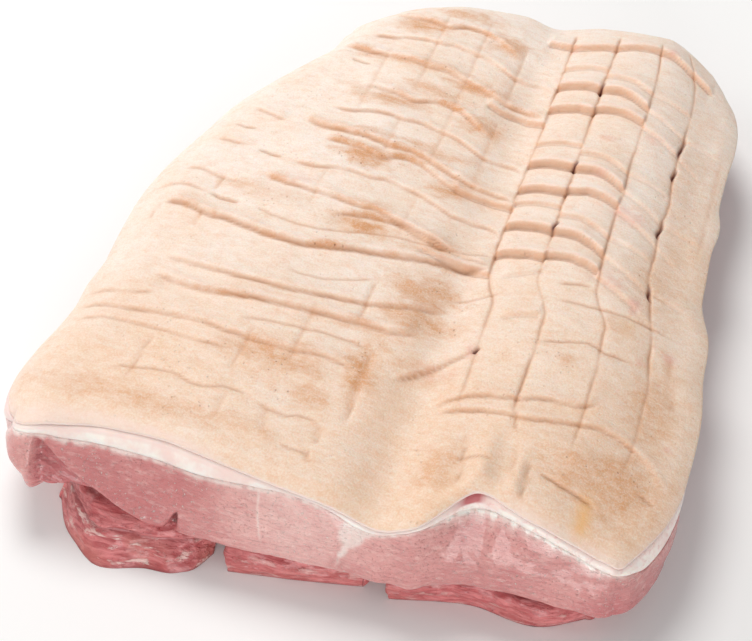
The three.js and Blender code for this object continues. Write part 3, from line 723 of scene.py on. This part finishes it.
layers = {
    "frontBand": [(-122, 1), (-105, 1.8), (-85, 3.2), (-60, 4.4), (-40, 4.8), (-30, 4), (-14, 2),
                  (-3, 0.4), (18, 0.4),
                  (26, 1.4), (34, 0.6), (50, 0.6), (60, 2.6), (68, 3.6), (80, 2.2), (100, 2), (128, 2)],
    "arch": (66.5, 3.8),         # middle and half width of the hollow under the arched skin
    "sideBand": 6.5,             # fat seen at the other three sides, mm
    "fatRows": 10, "leanRows": 40,
    "white": srgb(253, 242, 234), "rosy": srgb(246, 218, 210), "lilac": srgb(236, 206, 202),
    # the fissure colour is painted shade; the deep colour is the lean's darker red and also painted shade below the
    # flap and in the hollow under the arched skin
    "pink": srgb(222, 158, 153), "pinkLow": srgb(208, 138, 135), "deep": srgb(196, 108, 110), "fissureShade": srgb(130, 48, 50),
    "blond": srgb(246, 204, 196),
    "flap": [(-106, 43), (-98, 40), (-90, 35), (-80, 29.5), (-70, 25), (-60, 21),
             (-50, 17.6)],  # x, height
    "seamTop": 45.0, "seamTip": 17.0,    # heights of the white seam's ends
}


def rimLoop(frontCount=400, sideCount=230, backCount=200):
    left, right, front, back = slab["left"], slab["right"], slab["front"], slab["back"]
    across, along = np.linspace(left, right, frontCount), np.linspace(front, back, sideCount)
    behind = np.linspace(right, left, backCount)
    a = np.concatenate([across[:-1], np.full(sideCount - 1, right), behind[:-1],
                        np.full(sideCount - 1, left)])
    b = np.concatenate([np.full(frontCount - 1, front), along[:-1], np.full(backCount - 1, back),
                        along[::-1][:-1]])
    return a, b


def rimLevels(a, b):
    # Heights at the rim: top of the rind, under the skin, under the fat, under the lean.
    top = rindZ(a, b, 0.0)
    skinLow = top - skinThick(a)
    atFront = ease(1 - (b - slab["front"]) / 14)
    fatLow = skinLow - mix(layers["sideBand"], through(layers["frontBand"], a), atFront)
    return top, skinLow, fatLow, leanBottom(a, b)


def wallAt(a, b, z):
    # A point of the cut side at height z: deeper points swell outwards, and the lower edge turns in again.
    top, _, _, low = rimLevels(a, b)
    h = clamp01((top - z) / (top - low))
    turned = h - 0.34 * clamp01((h - 0.84) / 0.16) ** 2
    return place(a, b, turned)


def stack(loops):
    return tuple(np.stack([loop[i] for loop in loops]) for i in range(3))


def shrunk(a, b, scale):
    midA, midB = (slab["left"] + slab["right"]) / 2, (slab["front"] + slab["back"]) / 2
    return midA + (a - midA) * scale, midB + (b - midB) * scale


def buildFat():
    a, b = rimLoop()
    _, skinLow, fatLow, _ = rimLevels(a, b)
    loops = []
    for scale in (0.4, 0.75, 0.95, 0.985):
        ra, rb = shrunk(a, b, scale)
        px, py = place(ra, rb, 0.0)
        loops.append((px, py, np.minimum(skinLow - (1 if scale > 0.96 else 3), 99 if scale > 0.96 else 34)))
    for k in range(layers["fatRows"]):
        t = max(k - 1, 0) / (layers["fatRows"] - 2)
        z = mix(skinLow + 0.25, fatLow, t) if k > 0 else skinLow + 1.0
        px, py = wallAt(a, b, z)
        nx, ny = outward(px, py)
        plump = 0.35 * math.sin(math.pi * t) * clamp01((skinLow - fatLow) / 3)
        uneven = 0.2 + 0.2 * noise(px / 6, py / 6, z / 2.5, seed=31) * clamp01((skinLow - fatLow) / 3)
        # the top row tucks in under the skin, the bottom row in over the lean
        out = plump + uneven + 0.1 - 0.8 * (k == 0) - 0.35 * (k == layers["fatRows"] - 1)
        loops.append((px + nx * out, py + ny * out, z))
    mid = shrunk(0 * a[:1], 0 * b[:1], 0)
    cx, cy = place(mid[0], mid[1], 0.0)
    rimX, rimY = loops[-1][:2]
    for scale in (0.99, 0.9, 0.5):
        underside = fatLow - 0.1 if scale > 0.95 else np.minimum(fatLow, 34) - 1
        loops.append((cx + (rimX - cx) * scale, cy + (rimY - cy) * scale, underside))
    x, y, z = stack(loops)
    depth = clamp01((skinLow - z) / np.maximum(skinLow - fatLow, 0.6))
    # darker red in the hollow under the arched skin: the meat seen there, with painted shade
    hollowShade = ease(1 - (b - slab["front"]) / 6) * bell(x, *layers["arch"]) * ease((0.5 - depth) / 0.25)
    tints = {"fatShade": channels(depth, ease((a - 50) / 10) + 0 * depth, ease((-112 - x) / 8), hollowShade)}
    return bandPiece("white_fat", x, y, z, tints, [(cx[0], cy[0], 34), (cx[0], cy[0], 30)])


def leanRelief(x, y, z, front):
    # How far the cut lean stands out or in: noise for the muscle's swells, a step below the flap's line,
    # and bell-shaped lobe, notch and seam.
    flapLine = through(layers["flap"], x)
    below = flapLine - z
    reach = ease((x + 107) / 5) * ease((-46 - x) / 12) * front
    out = (1.1 * noise(x / 21, y / 21, z / 13, seed=41) + 0.45 * noise(x / 7, y / 7, z / 5, seed=42)
           + 0.16 * noise(x / 2.4, y / 2.4, z / 1.6, seed=43))
    out = out - reach * (4.6 * ease(below / 2.6) - 1.2 * bell(below, -1.6, 2.2))
    out = out + reach * ease(below / 4) * 0.5 * np.sin(below * 1.35 + 0.12 * x)
    out = out + front * 3.6 * bell(x, -115, 9) * bell(z, 28, 9)
    notchLine = -47.5 + 0.3 * (z - 14)
    notch = front * bell(x, notchLine, 0.6 + 1.6 * clamp01((29 - z) / 14)) * ease((30 - z) / 8)
    out = out - 5.5 * notch
    seamMiddle = 20 + 8 * clamp01((z - layers["seamTip"]) / 28)
    out = out - front * 1.3 * bell(x, seamMiddle, 2.4) * ease((z - 12) / 8)
    out = out - front * 1.0 * bell(x, 44, 5) * ease((38 - z) / 12)
    return out, below, reach, notch, seamMiddle


def buildLean():
    a, b = rimLoop(430, 220, 200)
    _, _, fatLow, low = rimLevels(a, b)
    atFront = ease(1 - (b - slab["front"]) / 10)
    loops, shades = [], []
    mid = shrunk(0 * a[:1], 0 * b[:1], 0)
    cx, cy = place(mid[0], mid[1], 0.0)
    rimX, rimY = wallAt(a, b, fatLow)
    for scale in (0.45, 0.9, 0.985):
        upper = (fatLow if scale > 0.95 else np.minimum(fatLow, 33)) - 0.2
        loops.append((cx + (rimX - cx) * scale, cy + (rimY - cy) * scale, upper))
        shades.append(np.zeros((len(a), 4)))
    for k in range(layers["leanRows"] + 1):
        t = min(k / (layers["leanRows"] - 1), 1.0) if k != layers["leanRows"] - 1 else 0.995
        z = mix(fatLow + 0.4, low, t ** 0.92)
        px, py = wallAt(a, b, z)
        nx, ny = outward(px, py)
        out, below, reach, notch, seam = leanRelief(px, py, z, atFront)
        held = ease(t * 7)
        out = out * held + (0.4 - 0.15 * held if k > 0 else -0.4)
        loops.append((px + nx * out, py + ny * out, z + 0.5 * t * noise(px / 8, py / 8, seed=44)))
        wedge = 10 * clamp01((z - layers["seamTip"]) / (layers["seamTop"] - layers["seamTip"])) ** 1.6
        ragged = 1.5 * noise(px / 2.2, z / 2.6, seed=45)
        inSeam = wedge + 0.6 + ragged - np.abs(px - seam - 0.2 * wedge)
        seamWhite = 0.66 * atFront * ease(inSeam / 2.4) * ease((z - 15) / 4)
        comb = 1.1 + 1.0 * noise(px / 2.6, 0.0, seed=46) + 0.6 * noise(px / 1.1, 0.0, seed=47)
        frost = (atFront * ease((px - 54) / 8) * ease((124 - px) / 6)
                 * (0.8 * ease((comb - (fatLow - z)) / 1.2) + 0.35 * ease((comb + 4 - (fatLow - z)) / 5)))
        thin = 0.7 * atFront * ease((1.5 + 0.4 * ragged - (fatLow - z)) / 1.6)
        leftEnd = ease((-114.5 - px + 0.12 * (36 - z)) / 4)
        vein = atFront * bell(px, -12 + 7 * clamp01((47 - z) / 36) ** 1.6, 0.45) * ease((z - 20) / 12) * 0.5
        white = clamp01(np.maximum.reduce([seamWhite, frost, thin, vein * 0.9, 0.75 * leftEnd]))
        # painted shade below the flap's line, in the notch and in the fissure between lobe and flap
        fissureShade = clamp01(reach * (0.75 * bell(below, 1.2, 1.1) + 0.35 * bell(below, 5.6, 0.7)
                                   + 0.25 * bell(below, 9.4, 0.7))
                          + notch * 1.2
                          + 0.12 * atFront * bell(px, -103.5, 1.6) * ease((40 - z) / 6) * ease((z - 24) / 6))
        paler = (bell(px, 4, 24) + 0.5 * ease((t - 0.86) / 0.14) * ease((px + 46) / 8)
                 + 0.35 * ease((0.2 - t) / 0.2))
        # darker red to the left, lower down and at the low right, paler near the seam, the lower edge and the top;
        # darker below the flap's line as painted shade, and lighter at the left end as painted light on the lobe that
        # faces away from the lamps
        deep = clamp01(0.35 + 0.5 * reach * ease(below / 4) + 0.3 * ease((-22 - px) / 30)
                       + 0.12 * ease((t - 0.4) / 0.4)
                       + 0.4 * ease((px - 108) / 14) * ease((34 - z) / 14) - 0.33 * atFront * paler
                       - 0.35 * atFront * ease((-100 - px) / 8))
        shades.append(channels(white, fissureShade, deep, leftEnd))
    for scale in (0.985, 0.94, 0.8, 0.5, 0.25):
        ra, rb = shrunk(a, b, scale)
        px, py = place(ra, rb, 0.62)
        loops.append((px, py, leanBottom(ra, rb) + 0.3))
        shades.append(channels(0 * a, 0 * a, 0 * a + 0.5, 0 * a))
    x, y, z = stack(loops)
    return bandPiece("pale_lean", x, y, z, {"leanShade": np.stack(shades)}, [(cx[0], cy[0], 33),
                                            (cx[0], cy[0], 15)])


def fatMaterial():
    shop = Shop("back fat")
    where = shop.here()
    depth, right, leftEnd, hollowShade = shop.tint("fatShade")
    soft = shop.grain(where, 110, detail=4)
    fine = shop.grain(where, 520, detail=3)
    colour = shop.blend(soft.step(0.35, 0.7), layers["white"], layers["rosy"])
    colour = shop.blend((1 - depth.step(0.0, 0.22)) * 0.7, colour, layers["rosy"])
    colour = shop.blend((leftEnd * 0.6).clamp(), colour, layers["lilac"])
    colour = shop.blend((right * fine.step(0.5, 0.7) * 0.4).clamp(), colour, layers["pink"])
    # darker red in the hollow under the arched skin: the meat seen there, with painted shade
    colour = shop.blend((hollowShade * 1.4).clamp(), colour, layers["deep"])
    return shop.finish(Base_Color=colour, Roughness=0.32 + soft * 0.2,
                       Normal=shop.bump(soft * 0.6 + fine * 0.4, 0.0006, 0.6),
                       Subsurface_Weight=0.3, Subsurface_Radius=(1.0, 0.55, 0.4), Subsurface_Scale=0.003,
                       Specular_IOR_Level=0.5, Coat_Weight=0.15, Coat_Roughness=0.25)


def leanMaterial():
    shop = Shop("pale lean")
    where = shop.here()
    white, fissureShade, deep, leftEnd = shop.tint("leanShade")
    broad = shop.grain(where, 45, detail=4)
    mottle = shop.grain(shop.scaled(where, (1, 1, 0.6)), 230, detail=5, rough=0.6)
    threads = shop.grain(shop.scaled(where, (0.5, 0.6, 1.3)), 520, detail=4)
    sparkle = shop.grain(where, 1000, detail=2).step(0.62, 0.7)
    fibres = shop.grain(shop.scaled(where, (0.22, 0.5, 1.6)), 420, detail=5, rough=0.65, warp=0.5)
    colour = shop.blend(broad.step(0.38, 0.62), layers["pink"], layers["pinkLow"])
    colour = shop.blend((1 - deep * 2.9).clamp() * 0.8, colour, layers["blond"])
    # darker red, with painted shade below the flap's line
    colour = shop.blend(((deep - 0.35) * 1.7 * (0.6 + mottle * 0.8)).clamp(), colour, layers["deep"])
    colour = shop.blend(((mottle - 0.46) * 2.6).clamp() * 0.4, colour, layers["deep"])
    colour = shop.blend(((0.47 - threads) * 5.0).clamp() * 0.35, colour, layers["rosy"])
    colour = shop.blend(((0.44 - fibres) * 7.0).clamp() * 0.4, colour, layers["deep"])
    # painted highlight: tiny white glints on the wet lean
    colour = shop.blend(sparkle * broad.step(0.4, 0.6) * 0.6, colour, layers["white"])
    colour = shop.blend(white.clamp(), colour, shop.blend(leftEnd, layers["white"], layers["lilac"]))
    # painted shade in the fissures and the notch
    colour = shop.blend((fissureShade * 0.85).clamp(), colour, layers["fissureShade"])
    return shop.finish(Base_Color=colour, Roughness=(0.42 - sparkle * 0.22 + mottle * 0.1),
                       Normal=shop.bump(mottle * 0.8 + fibres * 0.8 + threads * 0.4 + sparkle * 0.5, 0.0013, 0.9),
                       Subsurface_Weight=0.22, Subsurface_Radius=(1.0, 0.35, 0.3), Subsurface_Scale=0.003,
                       Specular_IOR_Level=0.5, Coat_Weight=0.6, Coat_Roughness=0.12)


fatPiece, leanPiece = buildFat(), buildLean()
for piece, material, slot in ((fatPiece, fatMaterial(), "rind_and_fat"),
                              (leanPiece, leanMaterial(), "pale_lean")):
    piece.data.materials.append(material)
    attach(piece, "root")
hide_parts("fat_cap")
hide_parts("pink_lean")
print("fat and lean:", len(fatPiece.data.polygons), len(leanPiece.data.polygons), "faces")


# The rib meat.

ribs = {
    "rows": 34,
    "strips": [   # CAD node, left and right column, front line at the table, how far back the top edge lies, seed
        ("rib_meat_left", -100, -30, [(-100, -108), (-94, -118), (-85, -126), (-76, -131.8),
                                      (-54, -128), (-40, -125.5),
                                        (-34, -121), (-30, -113)], 18, 51),
        ("rib_meat_middle", -22, 30, [(-22, -119), (6, -114), (30, -109)], 5, 52),
        ("rib_meat_right", 42, 112, [(42, -111), (72, -104), (100, -104), (112, -96)], 5, 53),
    ],
    "red": srgb(224, 134, 134), "dark": srgb(184, 82, 84), "brown": srgb(192, 116, 104), "marble": srgb(242, 204, 196),
    "shadow": srgb(120, 42, 46),
}


def buildStrip(name, left, right, line, slope, seed):
    wide = right - left
    acrossCount, alongCount, backCount = int(wide / 0.6), 170, int(wide / 1.6)
    u = np.concatenate([np.linspace(0, 1, acrossCount)[:-1], np.ones(alongCount - 1),
                        np.linspace(1, 0, backCount)[:-1], np.zeros(alongCount - 1)])
    v = np.concatenate([np.zeros(acrossCount - 1), np.linspace(0, 1, alongCount)[:-1] ** 1.35,
                        np.ones(backCount - 1), (np.linspace(0, 1, alongCount) ** 1.35)[::-1][:-1]])

    def spot(u, v, level, scale=1.0):
        su, sv = 0.5 + (u - 0.5) * scale, 0.5 + (v - 0.5) * scale
        ragged = 1.5 * np.sin(sv * 23 + left) * (1 - abs(level - 0.5))
        a = mix(left + ragged + (3.5 - 1.5 * level) * (slope > 10), right - ragged, su)
        tip = through(line, mix(left, right, su))
        shelf = np.maximum(tip + slope, -111)
        lean = level ** 0.85
        b = mix(-90, slab["back"] - 8 - 6 * level, ease(sv) * 0.25 + sv * 0.75)
        px, py = place(a, b, 0.4)
        pull = ease(1 - sv * 4)
        py = mix(py, mix(shelf, tip, lean), pull)
        under = leanBottom(a, np.minimum(b, py + 8)) - 0.5
        crest = np.minimum(under, mix(under, 12 + 6 * (slope > 10), pull)) - 1.6 * (1 - np.sin(math.pi * su)) ** 2
        return px, py, crest * (1 - level ** 1.25)

    loops, shades = [], []
    for scale in (0.4, 0.8, 0.93, 0.985):
        loops.append(spot(u, v, 0.0, scale))
        shades.append(channels(0 * u, 0 * u, 0 * u, 0 * u))
    for k in range(ribs["rows"] + 1):
        level = min(k / (ribs["rows"] - 1), 1.0) if k != ribs["rows"] - 1 else 0.985
        px, py, pz = spot(u, v, level)
        nx, ny = outward(px, py)
        belly = 1.6 * math.sin(math.pi * level ** 0.8)
        rough = 0.9 * noise(px / 9, py / 9, pz / 6, seed=seed) \
            + 0.5 * noise(px / 7, py / 7, pz / 1.7, seed=seed + 10) \
            + 0.35 * noise(px / 2.6, py / 2.6, pz / 2.2, seed=seed + 20)
        crease = bell(level, 0.46 + 0.05 * noise(px / 11, seed, seed=seed + 30), 0.035) if slope > 10 else 0 * u
        out = belly * (slope < 10) + rough * ease(min(level, 1 - level) * 6 + 0.15) - 1.1 * crease
        loops.append((px + nx * out, py + ny * out, np.maximum(pz + 0.4 * rough * (0 < level < 1), 0.0)))
        marbled = (ease((level - 0.42) / 0.1) * ease(1 - v * 3) if slope > 10
                   else 0.45 * ease((level - 0.1) / 0.4) + 0 * u)
        shadow = 0.65 * ease((0.16 - level) / 0.13) + 0.5 * crease + 0.5 * ease((level - 0.93) / 0.07)
        shades.append(channels(marbled, 0 * u + level, shadow, 0 * u))
    for scale in (0.998, 0.9, 0.6, 0.3):
        px, py, _ = spot(u, v, 1.0, scale)
        loops.append((px, py, 0 * px))
        shades.append(channels(0 * u + 0.4, 0 * u + 1, 0 * u, 0 * u))
    x, y, z = stack(loops)
    half = np.array([0.5])
    cx, cy, cz = spot(half, half, 0.0)
    return bandPiece(name.replace("rib_meat", "rib_strip"), x, y, z, {"ribShade": np.stack(shades)},
                     [(cx[0], cy[0], cz[0]), (cx[0], cy[0], 0)])


def ribMaterial():
    shop = Shop("rib meat")
    where = shop.here()
    marbled, level, shadow, _ = shop.tint("ribShade")
    broad = shop.grain(where, 70, detail=4)
    threads = shop.grain(shop.scaled(where, (0.3, 1.0, 1.7)), 330, detail=5, rough=0.6, warp=0.4)
    sparkle = shop.grain(where, 800, detail=2).step(0.6, 0.74)
    veins = shop.grain(shop.scaled(where, (0.4, 0.8, 1.9)), 190, detail=6, rough=0.68, warp=0.25)
    lines = veins.step(0.545, 0.64)
    colour = shop.blend(threads.step(0.36, 0.66), ribs["dark"], ribs["red"])
    colour = shop.blend((marbled * broad.step(0.4, 0.65) * 0.5).clamp(), colour, ribs["brown"])
    colour = shop.blend((lines * (0.12 + marbled * 0.75)).clamp(), colour, ribs["marble"])
    colour = shop.blend((shadow * 0.85).clamp(), colour, ribs["shadow"])
    return shop.finish(Base_Color=colour, Roughness=0.36 - sparkle * 0.18 + broad * 0.12,
                       Normal=shop.bump(threads * 0.9 + lines * 0.2 + sparkle * 0.3, 0.0014, 0.75),
                       Subsurface_Weight=0.15, Subsurface_Radius=(1.0, 0.3, 0.25), Subsurface_Scale=0.003,
                       Specular_IOR_Level=0.5, Coat_Weight=0.35, Coat_Roughness=0.14)


ribLook = ribMaterial()
for node, left, right, line, slope, seed in ribs["strips"]:
    strip = buildStrip(node, left, right, line, slope, seed)
    strip.data.materials.append(ribLook)
    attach(strip, "root")
    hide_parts(node)
print("rib meat:", len(ribs["strips"]), "strips")


# Floor, light and camera.

studio = {
    "floor": srgb(250, 250, 250),
    "camera": {"azimuth": 18.0, "elevation": 50.0, "distance": 0.640, "lens": 71.8,
               "look": (-7.0, -35.1, 28.0)},
    # name, where from the slab's middle in metres, size, power, colour
    "lights": [("overhead", (-0.4, 0.5, 1.15), 0.6, 10.0, (1.0, 0.985, 0.96)),
               ("leftSide", (-1.1, -0.1, 0.6), 0.7, 4.2, (1.0, 0.985, 0.965)),
               ("frontFill", (0.3, -1.3, 0.35), 0.8, 8.0, (1.0, 0.985, 0.975))],
    "sky": 0.33,
}


def buildStudio():
    bpy.ops.mesh.primitive_plane_add(size=12)
    floor = bpy.context.object
    floor.name = "floor"
    shop = Shop("pale floor")
    floor.data.materials.append(shop.finish(Base_Color=studio["floor"], Roughness=0.9, Specular_IOR_Level=0.1))
    for name, spot, size, power, colour in studio["lights"]:
        lamp = bpy.data.lights.new(name, "AREA")
        lamp.shape, lamp.size, lamp.energy, lamp.color = "DISK", size, power, colour
        holder = bpy.data.objects.new(name, lamp)
        holder.location = spot
        holder.rotation_euler = (-Vector(spot)).to_track_quat("-Z", "Y").to_euler()
        bpy.context.collection.objects.link(holder)
    world = bpy.data.worlds.new("studio")
    world.use_nodes = True
    world.node_tree.nodes["Background"].inputs["Color"].default_value = (1, 1, 1, 1)
    world.node_tree.nodes["Background"].inputs["Strength"].default_value = studio["sky"]
    scene = bpy.context.scene
    scene.world = world
    scene.view_settings.view_transform = "Standard"
    view = studio["camera"]
    azimuth, elevation = math.radians(view["azimuth"]), math.radians(view["elevation"])
    back = Vector((math.sin(azimuth) * math.cos(elevation), -math.cos(azimuth) * math.cos(elevation),
                   math.sin(elevation)))
    camera = bpy.data.objects.new("camera", bpy.data.cameras.new("camera"))
    camera.data.lens, camera.data.sensor_width = view["lens"], 36.0
    camera.data.clip_start, camera.data.clip_end = 0.01, 50
    camera.location = Vector(view["look"]) * 0.001 + back * view["distance"]
    camera.rotation_euler = back.to_track_quat("Z", "Y").to_euler()
    bpy.context.collection.objects.link(camera)
    scene.camera = camera


buildStudio()
print("studio ready")
